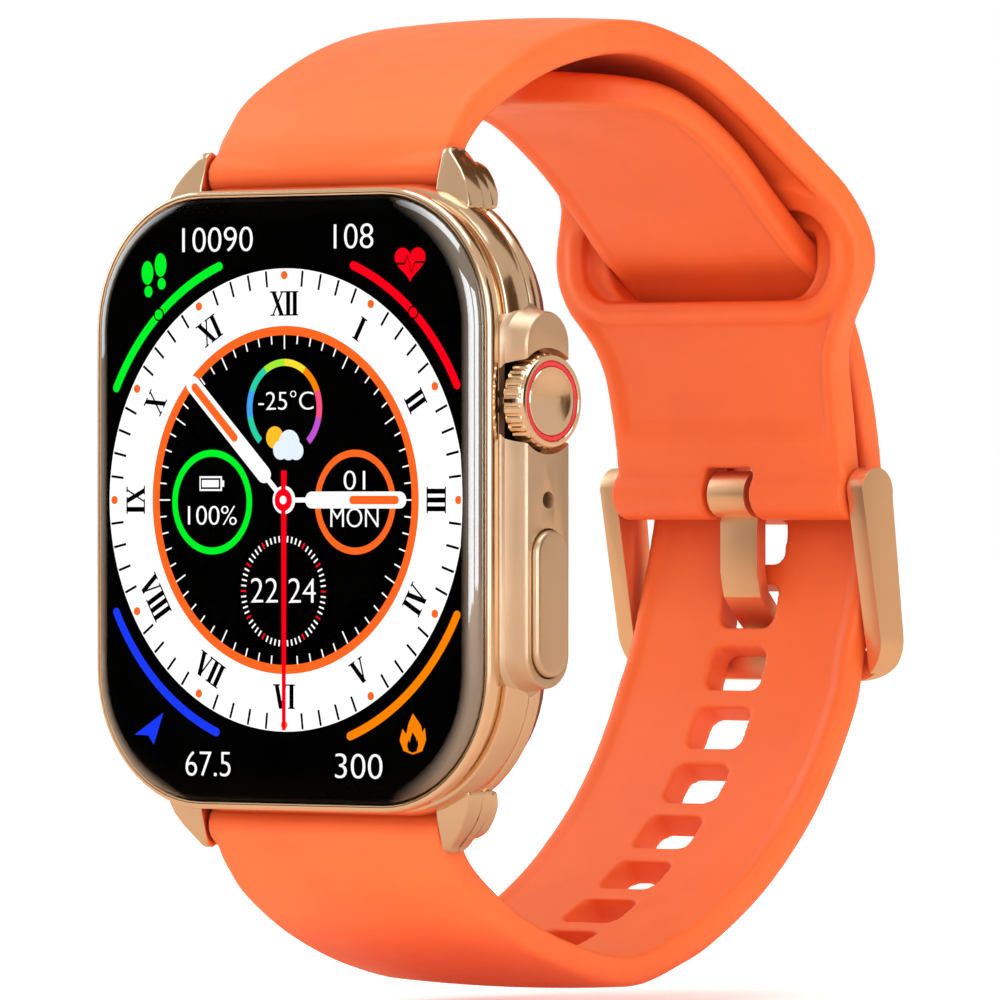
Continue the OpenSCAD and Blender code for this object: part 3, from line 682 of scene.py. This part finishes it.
def screen_pieces():
    """The dial: its rings, ticks, numerals, figures and icons, each a thin raised shape."""
    dial = Dial()
    dial.ring("white", 1, 0, 0, 12.4, 16.5)
    dial.ring("orange", 1, 0, 0, 11.75, 12.4)
    for k in range(60):
        if k % 5:
            dial.shape("black", 2, turned([(15.25, -0.09), (16.4, -0.09), (16.4, 0.09),
                                           (15.25, 0.09)], 6 * k))
        else:
            dial.disc("orange", 2, *turned([(16.02, 0)], 6 * k)[0], 0.3, 20)
        inner = 10.75 if k % 5 == 0 else 11.15
        dial.shape("white", 1, turned([(inner, -0.05), (11.75, -0.05), (11.75, 0.05),
                                       (inner, 0.05)], 6 * k))
    names = ["XII", "I", "II", "III", "IV", "V", "VI", "VII", "VIII", "IX", "X", "XI"]
    for hour, name in enumerate(names):
        angle = -30 * hour
        x, z = 14.0 * math.sin(math.radians(-angle)), 14.0 * math.cos(math.radians(angle))
        for stroke in numeral_strokes(name, 1.75):
            dial.shape("black", 2, turned(stroke, angle + (180 if 4 <= hour <= 8 else 0), x, z))

    for colour, a0, a1 in (("green", 110, 153), ("red", 27, 69), ("blue", 207, 249),
                           ("flame", -70, -27)):
        dial.sweep(colour, 1, 0, 0, 17.8, 0.62, a0, a1)
    for colour, angle in (("green", 131.5), ("red", 48)):
        spot = turned([(17.8, 0)], angle)[0]
        dial.disc("black", 2, *spot, 0.48)
        dial.disc(colour, 3, *spot, 0.36)

    for body, x, z, wide, high in (("10090", -6.27, 18.65, 6.6, 1.75),
                                   ("108", 6.41, 18.7, 3.6, 1.75),
                                   ("67.5", -7.15, -18.9, 4.2, 1.75),
                                   ("300", 6.88, -18.85, 4.35, 1.75),
                                   ("-25°C", 0.15, 7.1, 5.1, 1.35),
                                   ("100%", -6.75, -1.1, 4.55, 1.35),
                                   ("01", 6.5, 1.4, 1.95, 1.35), ("MON", 6.5, -1.25, 4.4, 1.35),
                                   ("22 24", -0.1, -6.45, 6.0, 1.75)):
        dial.words("white", 2, body, x, z, wide, high)

    # small dials
    bands = ["teal", "sky", "teal", "lime", "yellow", "flame", "rose", "violet"]
    step = 272 / len(bands)
    for k, colour in enumerate(bands):
        dial.sweep(colour, 1, 0, 6.55, 3.25, 0.5, 226 - k * step, 226 - (k + 1) * step - 1, False)
    dial.ring("green", 1, -6.78, -0.15, 3.25, 3.75)
    dial.ring("orange", 1, 6.55, -0.15, 3.22, 3.72)
    for k in range(60):
        tick = turned([(3.5, -0.06), (3.95, -0.06), (3.95, 0.06), (3.5, 0.06)], 6 * k, -0.1, -6.5)
        dial.shape("white" if k % 5 else "red", 1, tick)

    # weather, battery and the corner signs
    dial.disc("sun", 1, -0.9, 4.45, 0.8)
    for x, z, r in ((-0.35, 3.55, 0.68), (0.45, 4.05, 0.95), (1.1, 3.5, 0.66), (0.4, 3.45, 0.62)):
        dial.disc("cloud", 2, x, z, r)
    dial.shape("white", 1, [(-7.95, 0.65), (-5.85, 0.65), (-5.85, 0.95), (-5.65, 0.95),
                            (-5.65, 1.4),
                            (-5.85, 1.4), (-5.85, 1.7), (-7.95, 1.7)])
    dial.shape("black", 2, [(-7.82, 0.78), (-5.98, 0.78), (-5.98, 1.57), (-7.82, 1.57)])
    dial.shape("white", 3, [(-7.68, 0.92), (-6.12, 0.92), (-6.12, 1.43), (-7.68, 1.43)])
    for x, z in ((-12.9, 16.35), (-11.65, 16.9)):
        dial.shape("green", 1, [(x + 0.55 * px, z + 0.85 * pz) for px,
                                pz in arc(0, 0, 1, 0, 350, 24)])
        dial.shape("green", 1, [(x + 0.1 + 0.38 * px, z - 1.35 + 0.42 * pz)
                                for px, pz in arc(0, 0, 1, 0, 350, 16)])
    heart = [(16 * math.sin(t) ** 3, 13 * math.cos(t) - 5 * math.cos(2 * t) - 2 * math.cos(3 * t)
              - math.cos(4 * t)) for t in (2 * math.pi * k / 48 for k in range(48))]
    dial.shape("red", 1, [(11.6 + 0.088 * px, 16.8 + 0.085 * pz) for px, pz in heart])
    pulse = [(-1.3, 0), (-0.5, 0), (-0.2, 0.55), (0.15, -0.6), (0.45, 0.1), (1.3, 0.1)]
    dial.shape("black", 2, [(11.6 + px, 16.75 + pz) for px, pz in pulse]
               + [(11.6 + px, 16.6 + pz) for px, pz in reversed(pulse)])
    dial.shape("blue", 1, [(-14.1, -16.9), (-11.4, -15.3), (-12.3, -17.6), (-12.8, -16.95)])
    flame = [(0, 1.45), (0.75, 0.6), (0.85, 0.1), (1.1, 0.45), (1.2, -0.4), (0.85, -1.2),
             (0, -1.45),
             (-0.85, -1.2), (-1.2, -0.45), (-0.95, 0.35), (-0.6, -0.05), (-0.4, 0.7)]
    dial.shape("flame", 1, [(11.85 + px, -16.5 + pz) for px, pz in flame])
    dial.shape("black", 2, [(11.85 + 0.42 * px, -17.1 + 0.5 * pz) for px, pz in flame])

    # hands
    for angle, reach in ((0, 11.25), (135.9, 12.5)):
        dial.hand("white", 5, angle, 0.4, 3.0, 0.35)
        dial.hand("white", 5, angle, 2.0, reach, 1.2)
        dial.hand("orange", 6, angle, 6.1, reach - 0.6, 0.6)
    dial.disc("white", 6, 0, 0, 1.0)
    dial.shape("red", 7, [(-0.12, -16.4), (0.12, -16.4), (0.2, 2.1), (-0.2, 2.1)])
    dial.disc("red", 7, 0, 0, 0.8)
    dial.disc("white", 8, 0, 0, 0.3)
    dial.finish()


# ---- crown and button ----

def crown_pieces():
    teeth = 30

    def knurl(angle, x):
        """Round-topped ribs between two plain rims."""
        if not 19.2 < x < 20.72:
            return 1
        wave = math.cos(angle * teeth)
        return 1 - 0.028 * max(0.0, -wave) ** 0.6

    profile = [(18.95, 0.1), (18.95, 2.4), (19.1, 2.5), (19.12, 3.0), (19.16, 3.12), (19.21, 3.22),
               (19.3, 3.38),
               (19.45, 3.4), (20.45, 3.4), (20.62, 3.38), (20.71, 3.32), (20.74, 3.3),
               (20.86, 3.27),
               (20.95, 3.2), (21.0, 3.08), (21.0, 2.9), (20.94, 2.85), (20.5, 2.84), (20.5, 0.1)]
    knob = lathe_x("crown", profile, SIDE_Y, CROWN_Z, teeth * 10, knurl)
    finish_piece(knob, "crown", MATERIALS["bezel_metal"], ["crown_knob"], 28)
    ring = lathe_x("crown_accent", [(20.5, 2.47), (20.5, 2.83), (20.88, 2.83), (20.94, 2.76),
                                    (20.94, 2.54),
                                    (20.88, 2.47)], SIDE_Y, CROWN_Z)
    # the section closes on itself
    finish_piece(close_lathe(ring), "crown", MATERIALS["crown_red"], ["crown_ring"],
                 40)
    dish = [(20.5, 0.02), (20.5, 2.44), (20.9, 2.44), (20.97, 2.38), (20.95, 2.26)]
    dish += [(20.95 - 0.24 * math.sin(math.pi / 2 * k / 8), 2.2 - 2.18 * k / 8) for k in range(9)]
    cap = lathe_x("crown_dish", dish, SIDE_Y, CROWN_Z)
    finish_piece(cap, "crown", MATERIALS["bezel_metal"], ["crown_cap"], 40)


def close_lathe(obj, n=96):
    """Turns a lathe's two end caps into the wall that joins its first and last rings."""
    mesh = bmesh.new()
    mesh.from_mesh(obj.data)
    bmesh.ops.delete(mesh, geom=[f for f in mesh.faces if len(f.verts) == n], context="FACES_ONLY")
    mesh.verts.ensure_lookup_table()
    last = len(mesh.verts) - n
    for k in range(n):
        ends = (k, (k + 1) % n, last + (k + 1) % n, last + k)
        mesh.faces.new([mesh.verts[i] for i in ends])
    bmesh.ops.recalc_face_normals(mesh, faces=mesh.faces)
    mesh.to_mesh(obj.data)
    mesh.free()
    return obj


def button_piece():
    """A pill with a crowned rim round its flat top."""
    stations = [(19.35, 3.3, 10.2), (19.45, 3.5, 10.4), (20.72, 3.5, 10.4), (20.9, 3.44, 10.34),
                (21.03, 3.28, 10.18), (21.09, 3.06, 9.96), (21.1, 2.8, 9.7)]
    button = rings_to_mesh("button", [[(x, SIDE_Y + y, BUTTON_Z + z) for y, z in pill(w, h)]
                                      for x, w, h in stations])
    finish_piece(button, "side_button", MATERIALS["button_metal"], ["side_button"],
                 40)


# ---- strap ----

class Band:
    """A smoothed strap route: places, directions and half widths by distance along it."""

    def __init__(self, points, per_span=14):
        fine = []
        for i in range(len(points) - 1):
            a, b, c, d = (points[min(max(k, 0), len(points) - 1)] for k in range(i - 1, i + 3))
            for step in range(per_span):
                fine.append(self.spline(a, b, c, d, step / per_span))
        fine.append(points[-1])
        self.rows = np.array(fine)
        gaps = np.linalg.norm(np.diff(self.rows[:, :2], axis=0), axis=1)
        self.run = np.concatenate([[0], np.cumsum(gaps)])
        self.length = self.run[-1]

    @staticmethod
    def spline(a, b, c, d, t):
        return [0.5 * (2 * q + (r - p) * t + (2 * p - 5 * q + 4 * r - s) * t * t
                       + (3 * q - p - 3 * r + s) * t ** 3) for p, q, r, s in zip(a, b, c, d)]

    def at(self, run):
        """Place (y, z), half width and unit direction at a distance along the band."""
        y, z, half = (np.interp(run, self.run, self.rows[:, k]) for k in range(3))
        ahead = [np.interp(run + 0.4, self.run, self.rows[:, k]) for k in range(2)]
        behind = [np.interp(run - 0.4, self.run, self.rows[:, k]) for k in range(2)]
        direction = np.array([ahead[0] - behind[0], ahead[1] - behind[1]])
        return y, z, half, direction / np.linalg.norm(direction)

    def locate(self, verts):
        """For each vertex: distance along the band and height over its middle, outward positive."""
        step = 0.25
        runs = np.arange(0, self.length + step, step)
        rows = [self.at(r) for r in runs]
        middle = np.array([[y, z] for y, z, half, d in rows])
        ahead = np.array([d for y, z, half, d in rows])
        half = np.array([h for y, z, h, d in rows])
        near = np.concatenate([((block[:, None, 1:] - middle[None]) ** 2).sum(-1).argmin(1)
                               for block in np.array_split(verts, max(1, len(verts) // 20000))])
        gap = verts[:, 1:] - middle[near]
        outward = np.stack([-ahead[near][:, 1], ahead[near][:, 0]], 1)
        return runs[near], (gap * outward).sum(1), half[near], outward


def step_up(x, lo, hi):
    t = np.clip((x - lo) / (hi - lo), 0, 1)
    return t * t * (3 - 2 * t)


def band_body(name, band, thick, crown, side, tip=0.0):
    """The plain band: crowned outside, flat inside, round edges. side is +1 where the route's
    left is the outside. A tip rounds off the free end over that length."""
    rings = []
    count = int(band.length / 0.7)
    for k in range(count + 1):
        run = band.length * k / count
        y, z, half, d = band.at(run)
        if tip:
            past = max(0.0, run - (band.length - tip)) / tip
            half *= math.sqrt(max(0.004, 1 - past * past))
        h = thick / 2
        neck = 1 - 0.14 * math.exp(-((run - 3.1) / 1.1) ** 2)
        edge = min(0.55, half * 0.4)
        outer = [(x, h * neck + crown * (1 - (x / half) ** 2)) for x in np.linspace(-half + edge,
                                                                                    half - edge,
                                                                                    15)]
        inner = [(x, -h) for x in np.linspace(half - edge, -half + edge, 9)]
        section = outer + [(half - edge * 0.3, h * neck - edge * 0.3), (half, h * neck - edge),
                           (half, -h + edge), (half - edge * 0.3, -h + edge * 0.3)]
        section += inner + [(-half + edge * 0.3, -h + edge * 0.3), (-half, -h + edge),
                            (-half, h * neck - edge), (-half + edge * 0.3, h * neck - edge * 0.3)]
        rings.append([(x, y - side * d[1] * n, z + side * d[0] * n) for x, n in section])
    return rings_to_mesh(name, rings)


def turned_prism(name, outline, y0, y1, place, degrees):
    """An (X, Z) outline extruded along Y, tilted about X and moved to a (Y, Z) place."""
    obj = prism_y(name, outline, y0, y1)
    obj.data.transform(Matrix.Translation((0, *place)) @ Matrix.Rotation(math.radians(degrees), 4,
                                                                         "X"))
    return obj


def voxel_skin(obj, size, rounds):
    """One even skin over a cut body, relaxed so that its rims turn softly."""
    step = obj.modifiers.new("skin", "REMESH")
    step.mode, step.voxel_size, step.adaptivity = "VOXEL", size, 0
    apply_modifiers(obj)
    relax(obj, rounds)
    return obj


def read_verts(mesh):
    flat = np.empty(len(mesh.vertices) * 3)
    mesh.vertices.foreach_get("co", flat)
    return flat.reshape(-1, 3)


def relax(obj, rounds):
    """Evens out the voxel steps without shrinking the shape."""
    mesh = obj.data
    place = read_verts(mesh)
    ends = np.empty(len(mesh.edges) * 2, dtype=np.int64)
    mesh.edges.foreach_get("vertices", ends)
    a, b = ends.reshape(-1, 2).T
    total = len(place)
    ties = np.bincount(ends, minlength=total)[:, None]
    for _ in range(rounds):
        for push in (0.5, -0.52):
            near = np.stack([np.bincount(a, place[b, k], total) + np.bincount(b, place[a, k], total)
                             for k in range(3)], 1) / ties
            place += push * (near - place)
    mesh.vertices.foreach_set("co", place.ravel())
    mesh.update()


def strap_end_tools(up):
    bore = rod_x("bore", 0.95, -12, 12, LUG_Y, up * BAR_Z)
    slot_box = turned_prism("slot", [(5.9, -0.75), (9.1, -0.75), (9.1, 0.75), (5.9, 0.75)], 0, 4,
                            (LUG_Y, up * BAR_Z), -25 * up)
    return [bore, slot_box]


WINDOW = {"place": (37.3, 18.1), "w": 23.6, "h": 6.6, "r": 2.8}


def window_distance(verts):
    """How far each vertex lies outside the window's outline, negative within it."""
    up = verts[:, 2] - WINDOW["place"][1]
    qx = np.abs(verts[:, 0]) - (WINDOW["w"] / 2 - WINDOW["r"])
    qz = np.abs(up) - (WINDOW["h"] / 2 - WINDOW["r"])
    outside = np.hypot(np.maximum(qx, 0), np.maximum(qz, 0))
    return outside + np.minimum(np.maximum(qx, qz), 0) - WINDOW["r"]


def press_tray(obj, band, side, depth, lip, window=False):
    """Sinks the inner face between a raised lip along each edge and round the window."""
    verts = read_verts(obj.data)
    run, height, half, outward = band.locate(verts)
    height, outward = height * side, outward * side
    inside = step_up(-height, 0.35, 0.8)
    amount = inside * step_up(half - np.abs(verts[:, 0]), lip, lip + 0.7) * step_up(run, 5, 8)
    amount *= step_up(band.length - run, 4, 6)
    if window:
        gap = window_distance(verts)
        amount *= step_up(gap, 1.5, 2.1)
        amount -= inside * np.exp(-((gap - 0.8) / 0.55) ** 2) * step_up(21.5 - verts[:, 2], 0, 3)
    verts[:, 1:] += outward * (depth * amount)[:, None]
    obj.data.vertices.foreach_set("co", verts.ravel())
    obj.data.update()


def strap_pieces():
    """Both silicone halves, each a swept band with its cuts, its pressed tray and its bar ends."""
    voxel = 0.24
    upper, lower = Band(UPPER_ROUTE), Band(LOWER_ROUTE)

    body = band_body("upper_band", upper, 2.4, 0.4, 1)
    combine(body, [rod_x("end_tube", 1.55, -10.95, 10.95, LUG_Y, BAR_Z),
                   rod_x("buckle_tube", 1.9, -10.9, 10.9, *BUCKLE)], "UNION")
    # the slot is wide on the inside and a step narrower through the band
    opening = turned_prism("slot", round_rect(19.9, WINDOW["h"], WINDOW["r"]), -5, 5,
                           WINDOW["place"], 0)
    slant = [(32, 14), (32, 22), (34.6, 22), (38.45, 18.95), (43, 15.3), (43, 14)]
    combine(opening, [prism_x("slant", slant, -11.3, 11.3)], "INTERSECT")
    recess = turned_prism("recess", round_rect(WINDOW["w"], WINDOW["h"], WINDOW["r"]), -6, -0.3,
                          WINDOW["place"], 0)
    notch = prism_x("notch", [(36, -3), (45, -3), (45, 2.4), (36, 2.4)], -2.3, 2.3)
    combine(body, strap_end_tools(1) + [opening, recess, notch,
                                        rod_x("bar_bore", 0.8, -12, 12, *BUCKLE)])
    voxel_skin(body, voxel, 6)
    press_tray(body, upper, 1, 0.4, 1.0, True)
    relax(body, 2)
    finish_piece(body, "upper_strap", MATERIALS["strap_silicone"],
                 ["upper_strap"], 80)

    body = band_body("lower_band", lower, 2.2, 0.35, -1, 5.5)
    combine(body, [rod_x("end_tube", 1.55, -10.95, 10.95, LUG_Y, -BAR_Z)], "UNION")
    tools = strap_end_tools(-1)
    for k in range(HOLE_COUNT):
        y, z, _, d = lower.at(FIRST_HOLE + k * HOLE_PITCH)
        tools.append(turned_prism("hole", round_rect(5.2, 3.4, 1), -4, 4, (y, z),
                                  math.degrees(math.atan2(d[1], d[0])) - 90))
    combine(body, tools)
    voxel_skin(body, voxel, 6)
    press_tray(body, lower, -1, 0.22, 0.9)
    relax(body, 2)
    finish_piece(body, "lower_strap", MATERIALS["strap_silicone"],
                 ["lower_strap"], 80)


# ---- buckle ----

def buckle_pieces():
    """The U of the frame and the prong, with eased edges."""
    side = arc(BUCKLE[0] + 0.65, 0.55, 1.85, -10, 170, 24) + arc(43.2, -12.2, 1.3, 190, 360, 16)
    body = prism_x("buckle", side, -12.6, 12.6)
    combine(body, [prism_y("outer", round_rect(25.2, 27, 3.4), 34, 50)], "INTERSECT")
    gap = prism_x("gap", [(34, -15), (42.7, -15), (42.7, -10), (34, -10)], -11.1, 11.1)
    combine(body, [prism_y("inner", round_rect(22.2, 23, 1.9), 34, 50), gap,
                   rod_x("bar_hole", 0.79, -12.35, 12.35, *BUCKLE)])
    finish_piece(bevel(body, 0.32, 3, 40), "buckle", MATERIALS["buckle_metal"],
                 ["buckle_frame"], 35)

    route = [(BUCKLE[0] + 0.7, -0.6), (40.85, -1.8), (40.85, -5.4), (41.2, -7), (42.9, -8.8),
             (44.9, -10.6),
             (45.15, -12.9)]
    edges = [[], []]
    for k, (y, z) in enumerate(route):
        a, b = route[max(k - 1, 0)], route[min(k + 1, len(route) - 1)]
        run = Vector((b[0] - a[0], b[1] - a[1])).normalized() * 0.525
        edges[0].append((y - run.y, z + run.x))
        edges[1].insert(0, (y + run.y, z - run.x))
    prong = prism_x("prong", edges[0] + edges[1], -1.75, 1.75)
    combine(prong, [rod_x("loop", 1.75, -1.74, 1.74, *BUCKLE)], "UNION")
    combine(prong, [rod_x("bar_hole", 0.79, -3, 3, *BUCKLE)])
    finish_piece(bevel(prong, 0.18, 4, 50), "prong", MATERIALS["buckle_metal"],
                 ["buckle_prong"], 24)


# ---- stage ----

def card(name, centre, wide, high, light, tint=(1, 1, 1)):
    """A studio card facing the watch: lit or dark in reflections, plain white to the camera."""
    middle = Vector(centre)
    side = Vector((-middle.y, middle.x, 0)).normalized() * wide / 2
    if side.length < 0.01:
        side = Vector((wide / 2, 0, 0))
    up = side.cross(middle).normalized() * high / 2
    corners = [middle - side - up, middle + side - up, middle + side + up, middle - side + up]
    obj = mesh_object(name, [tuple(c) for c in corners], [(0, 1, 2, 3)])
    n = Nodes(name)
    path = n.add("ShaderNodeLightPath")
    mottle = n.noise(3, 2)
    level = n.range(mottle, light * 0.97, light * 1.03)
    seen = n.add("ShaderNodeMath", {"operation": "MAXIMUM"}, Value=(path, "Is Camera Ray"))
    n.tree.links.new(level.outputs["Result"], seen.inputs[1])
    n.set(Base_Color=(0, 0, 0, 1), Roughness=1.0, Specular_IOR_Level=0.0, Emission_Color=(*tint, 1),
          Emission_Strength=(seen, "Value"))
    obj.data.materials.append(n.material)
    # a camera further out than the cards looks through them
    obj.visible_camera = False


def studio():
    """The floor, the cards and the world: white to the camera, dimmer and warmer in reflections."""
    scene = bpy.context.scene
    scene.view_settings.view_transform = "Standard"
    world = bpy.data.worlds.new("studio")
    world.use_nodes = True
    nodes, links = world.node_tree.nodes, world.node_tree.links
    back = nodes["Background"]
    # white behind the watch, soft light around it, dimmer and warmer in polished metal
    path = nodes.new("ShaderNodeLightPath")
    level = nodes.new("ShaderNodeMath")
    level.operation = "MULTIPLY_ADD"
    links.new(path.outputs["Is Glossy Ray"], level.inputs[0])
    level.inputs[1].default_value = -0.3
    level.inputs[2].default_value = 0.92
    warm = nodes.new("ShaderNodeMix")
    warm.data_type = "RGBA"
    warm.inputs[6].default_value = (1, 1, 1, 1)
    warm.inputs[7].default_value = (1, 0.8, 0.62, 1)
    links.new(path.outputs["Is Glossy Ray"], warm.inputs[0])
    links.new(warm.outputs[2], back.inputs["Color"])
    seen = nodes.new("ShaderNodeMath")
    seen.operation = "MAXIMUM"
    links.new(level.outputs["Value"], seen.inputs[0])
    links.new(path.outputs["Is Camera Ray"], seen.inputs[1])
    links.new(seen.outputs["Value"], back.inputs["Strength"])
    scene.world = world
    floor = mesh_object("floor", [(x, y, FLOOR_Z) for x, y in ((-4, -4), (4, -4), (4, 4), (-4, 4))],
                        [(0, 1, 2, 3)])
    n = Nodes("pale_floor")
    grain = n.noise(30, 3)
    tint = n.ramp(grain, [(0.3, (0.93, 0.93, 0.93)), (0.7, (0.96, 0.96, 0.96))])
    # warm and dim in the polished metal, pale everywhere else
    path = n.add("ShaderNodeLightPath")
    seen = n.add("ShaderNodeMix", {"data_type": "RGBA"})
    seen.inputs[7].default_value = (0.72, 0.5, 0.34, 1)
    n.tree.links.new(path.outputs["Is Glossy Ray"], seen.inputs[0])
    n.tree.links.new(tint.outputs["Color"], seen.inputs[6])
    glow = n.add("ShaderNodeMath", {"operation": "MULTIPLY_ADD"}, Value=(path, "Is Glossy Ray"))
    glow.inputs[1].default_value, glow.inputs[2].default_value = -0.3, 0.3
    floor.data.materials.append(n.set(Base_Color=(seen, 2), Roughness=0.9,
                                      Emission_Color=(1, 1, 1, 1),
                                      Emission_Strength=(glow, "Value")))
    card("key_left", (-1.05, -0.1, 0.45), 0.7, 0.9, 2.0)
    card("top_light", (0.0, -0.15, 1.1), 1.2, 0.9, 2.2)
    card("strip_right", (0.82, -0.62, 0.0), 0.5, 1.0, 2.4)
    card("strip_front", (0.35, -0.98, 0.0), 0.5, 1.0, 2.4)
    card("rear_flag", (0.0, 1.0, 0.85), 0.9, 0.7, 0.12, (1, 0.5, 0.2))
    card("screen_flag", (-0.36, -0.42, 0.0), 0.2, 0.2, 0.0)
    card("edge_flag", (0.95, 0.35, 0.05), 0.55, 1.2, 0.1, (1, 0.5, 0.2))


dress_cad_nodes()
case_pieces()
screen_pieces()
back_pieces()
crown_pieces()
button_piece()
strap_pieces()
buckle_pieces()
studio()
